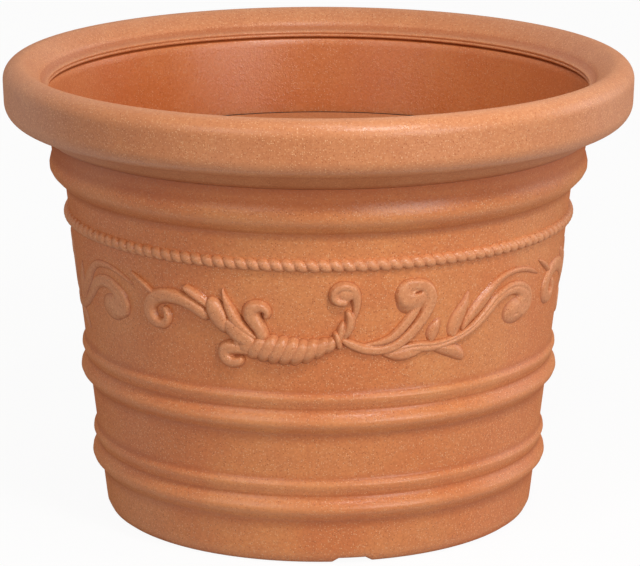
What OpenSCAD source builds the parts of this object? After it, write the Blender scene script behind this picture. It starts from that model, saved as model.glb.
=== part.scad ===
// Flower pot: a large round planter in a terracotta finish, with a rolled rim, a rope moulding,
// a frieze of horns and scrolls laid on the wall, and a loose planting shelf inside.
// The pot stands on z = 0 with its axis on Z. The front, where the middle horn sits, faces -Y.

/* [Wall] */
// Diameter of the wall at the floor
base_d = 383; // [375:1:391]
// Lean of the wall from the vertical, in degrees
wall_lean = 6.6; // [6:0.1:7]
// Height at which the wall turns out into the shoulder
shoulder_z = 296; // [292:1:304]
// Thickness of the moulded wall
wall_t = 6; // [4:0.5:7]

/* [Foot and floor] */
// Height of the foot ring under the floor
foot_h = 8; // [5:0.5:12]
// Width of the foot ring
foot_w = 16; // [12:1:24]
// Rounding at the foot's outer edge
foot_round = 3; // [1:0.5:5]
// Thickness of the floor
floor_t = 7; // [5:0.5:10]
// Drainage notches cut across the foot ring
notch_count = 3; // [2:1:6]
// Width of a notch
notch_w = 30; // [16:1:36]
// Height of a notch
notch_h = 3.5; // [2:0.5:4.5]
// Turn of the first notch from the front, in degrees
notch_turn = 9; // [0:1:20]
// Diameter of the middle drain hole
drain_d = 24; // [16:1:32]
// Diameter of a side drain hole
side_drain_d = 16; // [10:1:20]
// Side drain holes
side_drains = 4; // [3:1:8]
// Circle that the side drain holes lie on
side_drain_pcd = 220; // [160:2:260]

/* [Ribs] */
// Height of the lower rib pair's large rib
lower_rib_z = 51; // [46:1:56]
// Height of the upper rib pair's large rib
upper_rib_z = 131.6; // [129:0.1:135]
// How far a large rib stands out of the wall
large_rib_out = 7.8; // [5:0.1:9]
// Half the height of a large rib
large_rib_half = 16; // [14:0.5:18]
// How far a small rib stands out of the wall
small_rib_out = 4.1; // [3:0.1:5]
// Half the height of a small rib
small_rib_half = 12; // [9:0.5:13]
// Step up from a large rib to its small rib
rib_step = 23; // [21:0.1:25]

/* [Shoulder and neck] */
// Radius of the shoulder bead's section
bead_r = 24; // [22:0.5:25]
// How far the bead stands out of the wall's line
bead_out = 12; // [11:0.5:13]
// Height from the shoulder to the seat of the rim
neck_h = 88; // [84:1:94]
// How far the neck's inner face stands out of the wall's line at its top
neck_out = 6.4; // [5.5:0.1:7.5]
// Lean of the neck's inner wall, in degrees
neck_lean = 9.3; // [9:0.1:10]
// Thickness of the neck at its top
neck_t = 5; // [4:0.5:5.5]
// Height above the bead's middle at which the neck's outer face leaves the bead
neck_root_up = 9.6; // [7:0.2:12]
// Thickness of the neck where its outer face leaves the bead
neck_root_t = 3.9; // [3:0.1:4.5]
// Height of the inner ledge above the shoulder
ledge_up = 9; // [8:0.5:11]
// Chamfer on the neck's inner top edge
neck_chamfer = 0.8; // [0.4:0.1:1.2]

/* [Rim] */
// Width of the rim, from the face of its lip to its widest edge
rim_w = 38.5; // [36:0.5:42]
// How far the lip hangs over the neck's inner edge
lip_over = 0.8; // [0.4:0.1:1.5]
// Height of the rim's crest above its seat on the neck
crest_up = 24.5; // [23:0.5:27]
// How far the rim's skirt hangs below its seat
skirt_down = 41; // [39:0.5:43]
// How far the rim's inner edge lies behind the face of the lip
edge_in = 6.5; // [5.5:0.1:8]
// Height of the rim's inner edge above the seat
edge_up = 13; // [11.5:0.5:15]
// How deep the slope between the lip and the inner edge is hollowed
slope_cove = 1; // [0:0.1:1.4]
// How far the crown bows out between the inner edge and the corner
crown_bow = 1; // [0.4:0.1:2]
// Radius of the rim's upper outer corner
corner_r = 11.5; // [9:0.5:13]
// Angle at which the crown meets the corner, in degrees
corner_turn = 105; // [95:1:115]
// Radius of the roll under the rim
roll_r = 18; // [16:0.5:20]
// How far the roll's widest place lies inside the corner's
roll_in = 0.5; // [0:0.1:1.5]
// Height of the roll's middle above the skirt's edge
roll_up = 32; // [30.4:0.2:34]
// Angle through which the roll turns under, in degrees
roll_turn = 66; // [60:1:70]
// How far the skirt bows out between the roll and its edge
skirt_bow = 0.3; // [0:0.1:1]
// Chamfer on the skirt's edge
skirt_chamfer = 1.2; // [0.6:0.1:2]
// Thickness of the rim's shell
rim_t = 5; // [3.5:0.5:6]
// Height of the beaded lip
lip_h = 6; // [5:0.5:7]
// Plain face under the lip's first bead
lip_foot = 0.3; // [0.1:0.1:0.5]
// Radius of a fine bead on the lip
lip_bead_r = 1.3; // [1:0.1:1.4]
// Gap between the skirt's edge and the neck
skirt_gap = 0.3; // [0.2:0.1:0.5]

/* [Rope] */
// Height of the rope moulding
rope_z = 273.6; // [270:0.2:277]
// Thickness of the rope
rope_d = 11; // [9:0.5:12]
// How deep the rope's centre lies behind the wall's face
rope_sink = 0.8; // [0:0.1:1.5]

/* [Frieze] */
// Height of the frieze's middle
frieze_z = 215; // [212:1:216]
// Angle from one horn to the next, seen from above
horn_pitch = 107; // [106:0.5:110]
// Widening of the outer halves of the side groups, which meet at the back
back_stretch = 1.3; // [1.2:0.02:1.36]
// Angle round the wall that one unit of the frieze's drawing takes, in degrees
unit_angle = 0.2653; // [0.262:0.0001:0.27]
// How far the ornament stands out, against its modelled height
relief = 1; // [0.7:0.05:1.2]
// Gap between an ornament's back and the wall
sprig_gap = 0.2; // [0.16:0.02:0.3]
// Ribs on the horn
horn_ribs = 9; // [6:1:11]

/* [Planting shelf] */
// Gap all round between the shelf and the neck
shelf_gap = 1; // [0.6:0.1:1.5]
// Gap between the shelf and the ledge that carries it
shelf_rest = 0.3; // [0.2:0.05:0.4]
// Height of the shelf's edge
shelf_h = 8.5; // [7:0.5:10]
// Thickness of the shelf's plate
shelf_t = 4; // [3:0.5:5]
// Thickness of the shelf's turned-down edge
shelf_edge_t = 5; // [4:0.5:6]
// Diameter of the finger hole in the middle
finger_d = 34; // [28:1:40]
// Height and width of the collar under the finger hole
collar_t = 4; // [3:0.5:5]
// Thickness of a stiffening rib under the shelf
shelf_rib_t = 4; // [3:0.5:5]
// Stiffening ribs under the shelf
shelf_ribs = 6; // [4:1:8]
// Drain holes in the shelf's outer ring
shelf_drains = 12; // [6:6:18]
// Diameter of a drain hole in the shelf
shelf_drain_d = 10; // [6:1:14]
// Circle of the outer drain holes
shelf_drain_pcd = 330; // [300:2:360]
// Circle of the inner drain holes
shelf_inner_pcd = 170; // [140:2:200]

/* [Hidden] */
$fn = 180;
eps = 0.01;
cut = 1;
clay = [0.76, 0.49, 0.32];
clay_light = [0.82, 0.56, 0.38];
clay_dark = [0.66, 0.40, 0.25];

base_r = base_d / 2;
slope = tan(wall_lean);
neck_slope = tan(neck_lean);
seat_z = shoulder_z + neck_h;
ledge_z = shoulder_z + ledge_up;
floor_top = foot_h + floor_t;
bead_z = shoulder_z + sqrt(bead_r * bead_r - pow(bead_r - bead_out, 2));

// Radius of the wall's outer cone, and of the neck's inner face, at a height
function wall_at(z) = base_r + slope * z;
function neck_at(z) = neck_r - neck_slope * (seat_z - z);

neck_r = wall_at(seat_z) + neck_out;
lip_r = neck_r - lip_over;
rim_r = lip_r + rim_w;

// Outer face of the neck: from the bead to the seat of the rim
neck_low_z = bead_z + neck_root_up;
neck_low_r = neck_at(neck_low_z) + neck_root_t;
neck_out_slope = (neck_r + neck_t - neck_low_r) / (seat_z - neck_low_z);
function neck_out_at(z) = neck_low_r + neck_out_slope * (z - neck_low_z);

// Points on an arc from angle a to angle b
function arc(c, r, a, b, n) =
    [for (i = [0:n]) c + r * [cos(a + (b - a) * i / n), sin(a + (b - a) * i / n)]];

function unit2(v) = v / norm(v);
function turn_left(v) = [-v[1], v[0]];

// Points between a and b, without them, on a line that bows out to its left by h
function bow(a, b, h, n) =
    [for (i = [1:n - 1]) let (t = i / n) a + t * (b - a) + 4 * h * t * (1 - t) * turn_left(unit2(b - a))];

// A line set off to its left by t, point by point
function set_off(p, t) =
    [for (i = [0:len(p) - 1])
        let (before = p[max(i - 1, 0)], after = p[min(i + 1, len(p) - 1)])
        p[i] + t * turn_left(unit2(after - before))];
function backwards(p) = [for (i = [len(p) - 1:-1:0]) p[i]];

// Wall

// Section of one rib: the part of a circle that stands out of the wall
module rib_section(z, out, half) {
    r = (half * half + out * out) / (2 * out);
    translate([wall_at(z) + out - r, z])
        circle(r);
}

module rib_pair(z) {
    rib_section(z, large_rib_out, large_rib_half);
    rib_section(z + rib_step, small_rib_out, small_rib_half);
}

// Section of a round solid from the axis out to one straight side
module side_from(r0, z0, r1, z1) {
    polygon([[0, z0], [r0, z0], [r1, z1], [0, z1]]);
}

module wall_outer() {
    polygon(concat(
        [[0, 0]],
        arc([base_r - foot_round, foot_round], foot_round, -90, -wall_lean, 6),
        [[wall_at(shoulder_z), shoulder_z], [0, shoulder_z]]));
    rib_pair(lower_rib_z);
    rib_pair(upper_rib_z);
    translate([wall_at(bead_z) + bead_out - bead_r, bead_z])
        circle(bead_r);
    side_from(neck_low_r, neck_low_z, neck_out_at(seat_z), seat_z);
}

module wall_hollow() {
    side_from(wall_at(floor_top) - wall_t, floor_top, wall_at(ledge_z) - wall_t, ledge_z);
    side_from(neck_at(ledge_z), ledge_z, neck_at(seat_z), seat_z + eps);
    side_from(neck_r - neck_slope * neck_chamfer, seat_z - neck_chamfer,
        neck_r + neck_chamfer + eps, seat_z + eps);
}

module foot_recess() {
    translate([-eps, -eps])
        square([base_r - foot_round - foot_w + eps, foot_h + eps]);
}

module pot_wall() {
    color(clay)
    difference() {
        rotate_extrude()
            difference() {
                intersection() {
                    wall_outer();
                    square([rim_r, seat_z]);
                }
                wall_hollow();
                foot_recess();
            }
        translate([0, 0, foot_h - cut])
            cylinder(d = drain_d, h = floor_t + 2 * cut);
        for (i = [0:side_drains - 1])
            rotate(360 / side_drains * (i + 0.5))
                translate([side_drain_pcd / 2, 0, foot_h - cut])
                    cylinder(d = side_drain_d, h = floor_t + 2 * cut);
        for (i = [0:notch_count - 1])
            rotate(notch_turn - 90 + 360 / notch_count * i)
                translate([base_r - foot_round - foot_w - cut, -notch_w / 2, -cut])
                    cube([base_r, notch_w, notch_h + cut]);
    }
}

// Rolled rim: a shell that starts at the lip, goes over the crown and the roll and comes back
// to the neck at the edge of its skirt
crest_z = seat_z + crest_up;
skirt_z = seat_z - skirt_down;
lip_top = [lip_r, seat_z + lip_h];
lip_bead_z = seat_z + lip_foot + lip_bead_r;
lip_bead_step = lip_h / 2;
edge_p = [lip_r + edge_in, seat_z + edge_up];
corner_c = [rim_r - corner_r, crest_z - corner_r];
roll_c = [rim_r - roll_in - roll_r, skirt_z + roll_up];
skirt_p = [neck_out_at(skirt_z) + skirt_gap, skirt_z];

// Face of the lip, with its two fine beads
lip_face = concat(
    [[lip_r, seat_z]],
    arc([lip_r, lip_bead_z], lip_bead_r, -90, -270, 8),
    arc([lip_r, lip_bead_z + lip_bead_step], lip_bead_r, -90, -270, 8),
    [lip_top],
    bow(lip_top, edge_p, -slope_cove, 2),
    [edge_p]);
// Outer line of the shell from the inner edge to the skirt
crown = bow(edge_p, corner_c + corner_r * [cos(corner_turn), sin(corner_turn)], crown_bow, 4);
skirt = bow(roll_c + roll_r * [cos(roll_turn), -sin(roll_turn)], skirt_p, skirt_bow, 4);
shell = concat(
    crown,
    arc(corner_c, corner_r, corner_turn, 0, 6),
    arc(roll_c, roll_r, 0, -roll_turn, 7),
    skirt);
skirt_edge = [skirt_p + [skirt_chamfer, 0], skirt_p + [0, skirt_chamfer]];
// Inner line, from the seat to the skirt's upper edge
inner = concat(
    [[lip_r + rim_t, seat_z], [lip_r + rim_t, lip_top[1]]],
    set_off(shell, -rim_t),
    [[neck_out_at(skirt_z + rim_t) + skirt_gap, skirt_z + rim_t]]);

module rolled_rim() {
    color(clay_light)
    rotate_extrude()
        polygon(concat(lip_face, shell, skirt_edge, backwards(inner)));
}

// Rope moulding: a round strip laid on the wall
module rope_moulding() {
    color(clay_light)
    rotate_extrude()
        difference() {
            translate([wall_at(rope_z) - rope_sink, rope_z])
                circle(d = rope_d);
            side_from(wall_at(rope_z - rope_d), rope_z - rope_d, wall_at(rope_z + rope_d), rope_z + rope_d);
        }
}

// Frieze: each ornament is a band with an arched section, laid along its own middle line.
// A row of a line is [u, v, w, h]: u to the right of its horn's middle and v above the frieze's
// middle line, then the band's width and its height off the wall. The drawing's unit is about 1 mm
// on this wall, and it grows and shrinks with the wall's girth.
unit_w = PI * wall_at(frieze_z) * unit_angle / 180;

// Angle round the pot of a place u degrees from the middle of group k (-1, 0 or 1)
function round_angle(k, u) = k * horn_pitch + u * (k * u > 0 ? back_stretch : 1);

function on_wall(k, q, lift) =
    let (a = round_angle(k, q[0] * unit_angle), z = frieze_z + q[1] * unit_w, r = wall_at(z) + lift)
    [r * sin(a), -r * cos(a), z];

// Smooth line through rows p, with n steps from row to row
function smooth_at(p, i, t) =
    let (a = p[max(i - 1, 0)], b = p[i], c = p[i + 1], d = p[min(i + 2, len(p) - 1)])
    0.5 * (2 * b + (c - a) * t + (2 * a - 5 * b + 4 * c - d) * t * t
        + (3 * b - a - 3 * c + d) * t * t * t);
function smooth(p, n) = concat(
    [for (i = [0:len(p) - 2]) for (j = [0:n - 1]) smooth_at(p, i, j / n)],
    [p[len(p) - 1]]);

// Rows of a spiral round c from radius ra to rb, from angle a through turn degrees
function curl(c, ra, rb, a, turn, n, wa, wb, ha, hb) =
    [for (i = [0:n]) let (t = i / n, r = ra + (rb - ra) * t, g = a + turn * t)
        [c[0] + r * cos(g), c[1] + r * sin(g), wa + (wb - wa) * t, ha + (hb - ha) * t]];

// Rows whose u is given in degrees round the wall, in the drawing's units
function laid(p) = [for (q = p) [q[0] / unit_angle, q[1], q[2], q[3]]];

// Arched section: place across the band and height, as shares of the half width and the height
arch = [[-1, 0], [-0.62, 0.78], [0, 1], [0.62, 0.78], [1, 0]];

module band(k, rows) {
    m = len(arch);
    n = len(rows);
    points = [for (i = [0:n - 1])
        let (q = rows[i],
            along = rows[min(i + 1, n - 1)] - rows[max(i - 1, 0)],
            side = turn_left(unit2([along[0], along[1]])))
        for (s = arch)
            on_wall(k, [q[0], q[1]] + side * s[0] * q[2] / 2, sprig_gap + s[1] * q[3] * relief * unit_w)];
    faces = concat(
        [for (i = [0:n - 2]) for (j = [0:m - 1])
            let (a = i * m + j, b = i * m + (j + 1) % m) each [[a, b, b + m], [a, b + m, a + m]]],
        [for (j = [1:m - 2]) [0, j + 1, j]],
        [for (j = [1:m - 2]) let (e = (n - 1) * m) [e, e + j, e + j + 1]]);
    polyhedron(points, faces);
}

module horn(k) {
    line = smooth(laid([[-18.2, -12, 12, 6], [-14.5, -15.5, 21, 8.5], [-9, -17, 26, 10],
        [-4, -16.5, 25, 9.5], [0, -14, 19, 8], [2.6, -11, 12, 6.5], [4.2, -9.3, 7, 5]]), 3);
    groove = 0.88;
    steps = 2 * horn_ribs;
    color(clay_light)
        band(k, [for (i = [0:steps])
            let (t = i / steps * (len(line) - 1), j = min(floor(t), len(line) - 2),
                q = line[j] + (line[j + 1] - line[j]) * (t - j), share = i % 2 == 0 ? groove : 1)
            [q[0], q[1], q[2] * share, q[3] * share]]);
}

module horn_tie(k) {
    color(clay)
        band(k, smooth(laid([[3.6, -1.5, 4, 5], [4.4, -6.5, 6.5, 7.2], [5.5, -12.5, 4, 5]]), 2));
}

module twisted_stem(k) {
    color(clay_light)
        band(k, smooth(concat(
            laid([[4.9, -4.5, 6, 5], [5.4, 5, 8, 6], [6.7, 13, 8, 6], [7.9, 21, 7.5, 6]]),
            curl([20.4, 33.4], 11, 3.6, -15, 460, 9, 7, 5, 6, 6.5)), 2));
}

module upper_scroll(k) {
    color(clay_light)
        band(k, smooth(concat(
            laid([[5.6, -8, 5, 4.5], [9, -14, 9, 5], [13, -16, 10, 5.5], [17, -12.5, 11.5, 6],
                [20, -6, 12, 6], [22.3, 4, 11, 6], [24.3, 15, 10, 6]]),
            curl([83, 30], 13.6, 3, -10, 470, 9, 9, 4.6, 6, 6)), 2));
}

module lower_scroll(k) {
    color(clay_light)
        band(k, smooth(concat(
            laid([[16.5, -21.5, 3, 3], [19.5, -20, 7, 4], [23, -17, 8, 5], [27, -16.8, 8, 5],
                [31, -16, 8, 5], [35, -12, 8.5, 5.5], [38.6, -4.5, 9, 6],
                [41.8, 5.5, 10, 6], [44.4, 16, 13, 6.5]]),
            curl([193, 3], 20.5, 4, 115, -440, 9, 15, 4.4, 6.5, 5.5)), 2));
}

module long_leaf(k) {
    color(clay)
        band(k, smooth(laid([[34.6, -8, 4, 4], [37.4, 3, 6, 5], [40, 14, 6, 5], [42.4, 24.5, 5.5, 5],
            [45.2, 33, 5, 4.5], [49, 36.8, 4.5, 4], [54, 35, 4, 3.5], [58.4, 29, 2, 2]]), 2));
}

module tall_leaf(k) {
    color(clay)
        band(k, smooth(laid([[31.2, -12, 6, 4], [31.4, -2, 14, 5.5], [32.8, 8, 12, 5], [34.4, 18, 6.5, 4],
            [35.4, 25, 1.5, 2]]), 2));
}

module small_leaf(k) {
    color(clay)
        band(k, smooth(laid([[25, -12.5, 6, 3.5], [26.3, -5, 11, 5], [27.2, 1, 6.5, 4],
            [27.7, 4.5, 1.5, 2]]), 2));
}

module root_leaf(k) {
    color(clay)
        band(k, smooth(laid([[24.6, -22, 4, 3], [21.6, -23.5, 8, 4], [18.6, -24.5, 8, 4],
            [15.2, -23.5, 1.5, 2]]), 2));
}

module drooping_leaf(k) {
    color(clay)
        band(k, smooth(laid([[28.2, -21.5, 4, 3], [30.6, -24.3, 8.5, 4.5], [33, -27.8, 8.5, 4.5],
            [34.9, -34.5, 1.5, 2]]), 2));
}

module arch_scroll(k) {
    color(clay_light)
        band(k, smooth(laid([[-26.2, 9.5, 11, 6], [-29, 15.5, 12, 6.5], [-32, 19.8, 12, 6.5],
            [-35.5, 21.4, 12, 6.5], [-39, 18.5, 12.5, 6.5], [-41.3, 10.5, 14, 6.5],
            [-41.4, 2, 14, 6.5], [-40.1, -4, 11, 6], [-37.9, -6.2, 8, 5.5],
            [-36.3, -2.5, 6, 5.5], [-35.9, 3.5, 5.5, 5], [-36.8, 9, 3.5, 4]]), 2));
}

module tip_leaf(k) {
    color(clay)
        band(k, smooth(laid([[-40.6, 24.5, 3, 3.5], [-42.4, 28, 5.5, 4.5], [-44.5, 32, 4.5, 4],
            [-46.6, 36, 1.5, 2]]), 2));
}

module side_bud(k) {
    color(clay)
        band(k, smooth(laid([[-25.8, 19.5, 7, 5], [-28, 24.8, 10, 6], [-30, 29.7, 8.5, 5.5],
            [-31.2, 33.5, 2.5, 3]]), 2));
}

module mouth_bulb(k) {
    color(clay_light)
        band(k, smooth(laid([[-21.9, -0.5, 7, 5], [-22.6, 6, 15, 8], [-23.4, 13.5, 16, 8.5],
            [-24.1, 20.5, 11, 7], [-24.5, 24.5, 3, 3.5]]), 2));
}

module spike_leaf(k) {
    color(clay)
        band(k, smooth(laid([[-17.6, 5, 4, 4], [-19.3, 13, 6.5, 5.5], [-20.7, 22, 5, 4.5],
            [-21.6, 31, 3, 3], [-22, 37, 1, 1.5]]), 2));
}

module lip_leaf(k) {
    color(clay_light)
        band(k, smooth(laid([[-20.4, 6.5, 5, 4], [-18.9, 1, 12, 7], [-16.6, -4.5, 12, 7.5],
            [-14.4, -8.5, 5, 5]]), 2));
}

module mouth_curl(k) {
    color(clay_light)
        band(k, smooth(laid([[-12.2, -5, 13, 7.5], [-13.4, 3.5, 12.5, 7.5], [-14.6, 12, 12, 7.5],
            [-14.9, 19, 11, 7], [-13.6, 23.6, 8, 6.5], [-11.9, 23.4, 6.5, 6],
            [-11, 19.5, 5, 5.5], [-11.8, 16.6, 3, 5]]), 2));
}

module lower_curl(k) {
    color(clay_light)
        band(k, smooth(laid([[-17.2, -16, 9, 6], [-19.6, -14.2, 10, 6.5], [-21.9, -17.4, 10, 6.5],
            [-22.5, -24, 9.5, 6], [-21.2, -29.8, 8.5, 6], [-19.1, -31.6, 7.5, 5.5], [-17.6, -29, 6, 5],
            [-17.4, -26, 3, 4]]), 2));
}

// Planting shelf: a loose drained plate that rests on the ledge inside the neck
shelf_low = ledge_z + shelf_rest;
shelf_top = shelf_low + shelf_h;
shelf_under = shelf_top - shelf_t;
shelf_r_low = neck_at(shelf_low) - shelf_gap;
shelf_r_top = neck_at(shelf_top) - shelf_gap;
shelf_in_r = shelf_r_low - shelf_edge_t;
collar_r = finger_d / 2 + collar_t;

module planting_shelf() {
    color(clay_dark)
    difference() {
        union() {
            rotate_extrude()
                difference() {
                    side_from(shelf_r_low, shelf_low, shelf_r_top, shelf_top);
                    translate([collar_r, shelf_low - cut])
                        square([shelf_in_r - collar_r, shelf_under - shelf_low + cut]);
                }
            for (i = [0:shelf_ribs - 1])
                rotate(360 / shelf_ribs * i + 180 / shelf_drains)
                    translate([collar_r - collar_t / 2, -shelf_rib_t / 2, shelf_low])
                        cube([shelf_in_r - collar_r + collar_t, shelf_rib_t, shelf_h - shelf_t / 2]);
        }
        translate([0, 0, shelf_low - cut])
            cylinder(d = finger_d, h = shelf_h + 2 * cut);
        for (i = [0:shelf_drains - 1])
            rotate(360 / shelf_drains * i)
                translate([shelf_drain_pcd / 2, 0, shelf_under - cut])
                    cylinder(d = shelf_drain_d, h = shelf_t + 2 * cut);
        for (i = [0:shelf_drains / 2 - 1])
            rotate(720 / shelf_drains * i)
                translate([shelf_inner_pcd / 2, 0, shelf_under - cut])
                    cylinder(d = shelf_drain_d, h = shelf_t + 2 * cut);
    }
}

pot_wall();
rolled_rim();
rope_moulding();
planting_shelf();
horn(0);  // front_horn
horn(1);  // right_horn
horn(-1);  // left_horn
horn_tie(0);  // front_horn_tie
horn_tie(1);  // right_horn_tie
horn_tie(-1);  // left_horn_tie
twisted_stem(0);  // front_twisted_stem
twisted_stem(1);  // right_twisted_stem
twisted_stem(-1);  // left_twisted_stem
upper_scroll(0);  // front_upper_scroll
upper_scroll(1);  // right_upper_scroll
upper_scroll(-1);  // left_upper_scroll
lower_scroll(0);  // front_lower_scroll
lower_scroll(1);  // right_lower_scroll
lower_scroll(-1);  // left_lower_scroll
long_leaf(0);  // front_long_leaf
long_leaf(1);  // right_long_leaf
long_leaf(-1);  // left_long_leaf
tall_leaf(0);  // front_tall_leaf
tall_leaf(1);  // right_tall_leaf
tall_leaf(-1);  // left_tall_leaf
small_leaf(0);  // front_small_leaf
small_leaf(1);  // right_small_leaf
small_leaf(-1);  // left_small_leaf
root_leaf(0);  // front_root_leaf
root_leaf(1);  // right_root_leaf
root_leaf(-1);  // left_root_leaf
drooping_leaf(0);  // front_drooping_leaf
drooping_leaf(1);  // right_drooping_leaf
drooping_leaf(-1);  // left_drooping_leaf
arch_scroll(0);  // front_arch_scroll
arch_scroll(1);  // right_arch_scroll
arch_scroll(-1);  // left_arch_scroll
tip_leaf(0);  // front_tip_leaf
tip_leaf(1);  // right_tip_leaf
tip_leaf(-1);  // left_tip_leaf
side_bud(0);  // front_side_bud
side_bud(1);  // right_side_bud
side_bud(-1);  // left_side_bud
mouth_bulb(0);  // front_mouth_bulb
mouth_bulb(1);  // right_mouth_bulb
mouth_bulb(-1);  // left_mouth_bulb
spike_leaf(0);  // front_spike_leaf
spike_leaf(1);  // right_spike_leaf
spike_leaf(-1);  // left_spike_leaf
lip_leaf(0);  // front_lip_leaf
lip_leaf(1);  // right_lip_leaf
lip_leaf(-1);  // left_lip_leaf
mouth_curl(0);  // front_mouth_curl
mouth_curl(1);  // right_mouth_curl
mouth_curl(-1);  // left_mouth_curl
lower_curl(0);  // front_lower_curl
lower_curl(1);  // right_lower_curl
lower_curl(-1);  // left_lower_curl
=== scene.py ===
import bmesh
import bpy
import numpy as np
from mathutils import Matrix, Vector


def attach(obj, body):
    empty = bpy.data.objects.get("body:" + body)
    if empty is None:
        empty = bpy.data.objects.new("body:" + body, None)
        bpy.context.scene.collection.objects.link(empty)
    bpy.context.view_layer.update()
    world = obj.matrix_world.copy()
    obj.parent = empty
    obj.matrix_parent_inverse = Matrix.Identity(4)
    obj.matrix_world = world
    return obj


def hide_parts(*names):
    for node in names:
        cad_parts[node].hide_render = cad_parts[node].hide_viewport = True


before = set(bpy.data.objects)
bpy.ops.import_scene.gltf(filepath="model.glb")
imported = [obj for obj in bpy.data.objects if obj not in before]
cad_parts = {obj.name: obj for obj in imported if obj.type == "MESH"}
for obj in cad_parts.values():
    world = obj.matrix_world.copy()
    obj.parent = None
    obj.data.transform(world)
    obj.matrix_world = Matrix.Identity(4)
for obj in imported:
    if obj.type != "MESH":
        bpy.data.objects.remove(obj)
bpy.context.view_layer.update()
mm = 0.001
weldWithin = 0.002  # points closer than this become one


# Lines: arrays of [radius, height] points, or rows of a frieze line

# Arc round c from angle a to b, in degrees
def arcLine(c, r, a, b, count=30):
    t = np.radians(np.linspace(a, b, count))
    return np.stack([c[0] + r * np.cos(t), c[1] + r * np.sin(t)], -1)


# Line from a to b that bows out to its left by h: a parabola over the chord
def bowLine(a, b, h, count=20):
    a, b = np.array(a, float), np.array(b, float)
    t = np.linspace(0, 1, count)[:, None]
    chord = b - a
    left = np.array([-chord[1], chord[0]]) / np.hypot(*chord)
    return a + t * chord + 4 * h * t * (1 - t) * left


# Smooth line through rows: the Catmull-Rom cubic of each row and its neighbours
def throughRows(rows, steps=16):
    p = np.array(rows, float)
    p = np.concatenate([p[:1], p, p[-1:]])
    t = (np.arange(steps) / steps)[None, :, None]
    a, b, c, d = (p[i:len(p) - 3 + i, None] for i in range(4))
    line = 0.5 * (2 * b + (c - a) * t + (2 * a - 5 * b + 4 * c - d) * t ** 2
                  + (3 * b - a - 3 * c + d) * t ** 3)
    return np.concatenate([line.reshape(-1, p.shape[1]), p[-1:]])


# Points every step mm along a line, whose other columns are carried along
def evenly(line, step):
    length = np.concatenate([[0], np.cumsum(np.hypot(*np.diff(line[:, :2], axis=0).T))])
    want = np.linspace(0, length[-1], max(2, int(round(length[-1] / step)) + 1))
    return np.stack([np.interp(want, length, column) for column in line.T], -1)


# A line whose corners are rounded: a moving average with bell weights, ends kept
def softened(line, radius, step=0.25):
    line = evenly(line, step)
    reach = int(3 * radius / step)
    bell = np.exp(-0.5 * (np.arange(-reach, reach + 1) * step / radius) ** 2)
    bell /= bell.sum()
    first, last = line[0], line[-1]
    padded = np.concatenate([2 * first - line[reach:0:-1], line, 2 * last - line[-2:-reach - 2:-1]])
    return np.stack([np.convolve(column, bell, "valid") for column in padded.T], -1)


# Points spread by length plus turning, so that bends get more of them than straight stretches
def spread(line, count, turnWeight):
    step = np.diff(line[:, :2], axis=0)
    heading = np.unwrap(np.arctan2(step[:, 1], step[:, 0]))
    turning = np.abs(np.gradient(heading))
    measure = np.concatenate([[0], np.cumsum(np.hypot(*step.T) + turnWeight * turning)])
    want = np.linspace(0, measure[-1], count)
    return np.stack([np.interp(want, measure, column) for column in line.T], -1)


# How far a line bulges at each point: its turning per mm to the right, over a reach of a few mm.
# Ribs and beads bulge so on a line that runs down the outside.
def bulge(line, reach):
    step = 0.5
    even = evenly(line, step)
    heading = np.unwrap(np.arctan2(*np.gradient(even, axis=0)[:, ::-1].T))
    n = int(reach / step)
    bell = np.hanning(2 * n + 1)
    curved = np.convolve(-np.gradient(heading) / step, bell / bell.sum(), "same")
    length = np.concatenate([[0], np.cumsum(np.hypot(*np.diff(line, axis=0).T))])
    return np.interp(length, np.linspace(0, length[-1], len(even)), curved)


# Crest mask along a line: what bulges is rubbed paler, and what lies hollow gets painted shade, up to its
# share
def ridgeWearAndShade(line, reach, crestGain, shadeMost=0.6):
    return np.clip(bulge(line, reach) * crestGain, -shadeMost, 1)


# Surfaces: grids of points

# A profile carried round the axis: each of count angles gives one column
def turned(profile, count):
    angles = np.radians(np.linspace(0, 360, count, endpoint=False))
    r, z = profile[:, 0, None], profile[:, 1, None]
    return np.stack([r * np.sin(angles), -r * np.cos(angles), z + 0 * angles], -1)


# A grid with the crest mask of its rows as a fourth column
def withCrest(grid, crest=(0,)):
    column = np.broadcast_to(np.asarray(crest)[:, None, None], grid.shape[:2] + (1,))
    return np.concatenate([grid, column], -1)


# Quads that join neighbours in a grid of points, wrapped where it closes on itself
def gridQuads(rows, columns, wrapRows=False, wrapColumns=False):
    i = np.arange(rows if wrapRows else rows - 1)[:, None]
    j = np.arange(columns if wrapColumns else columns - 1)[None, :]
    up, right = (i + 1) % rows, (j + 1) % columns
    corners = [i * columns + j, i * columns + right, up * columns + right, up * columns + j]
    return np.stack([c + 0 * (i + j) for c in corners], -1).reshape(-1, 4)


# Several grids as one list of points and quads; each is (grid, wrapRows, wrapColumns)
def joinGrids(grids):
    points, quads, start = [], [], 0
    for grid, wrapRows, wrapColumns in grids:
        points.append(grid.reshape(-1, grid.shape[-1]))
        quads.append(gridQuads(*grid.shape[:2], wrapRows, wrapColumns) + start)
        start += grid.shape[0] * grid.shape[1]
    return np.concatenate(points), np.concatenate(quads)


# Six times the signed volume in closed quads: a . (b x c + c x d) summed over quads a b c d
def signedVolume(points, quads):
    a, b, c, d = (points[quads[:, k]] for k in range(4))
    return np.einsum("ij,ij->", a, np.cross(b, c) + np.cross(c, d))


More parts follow.
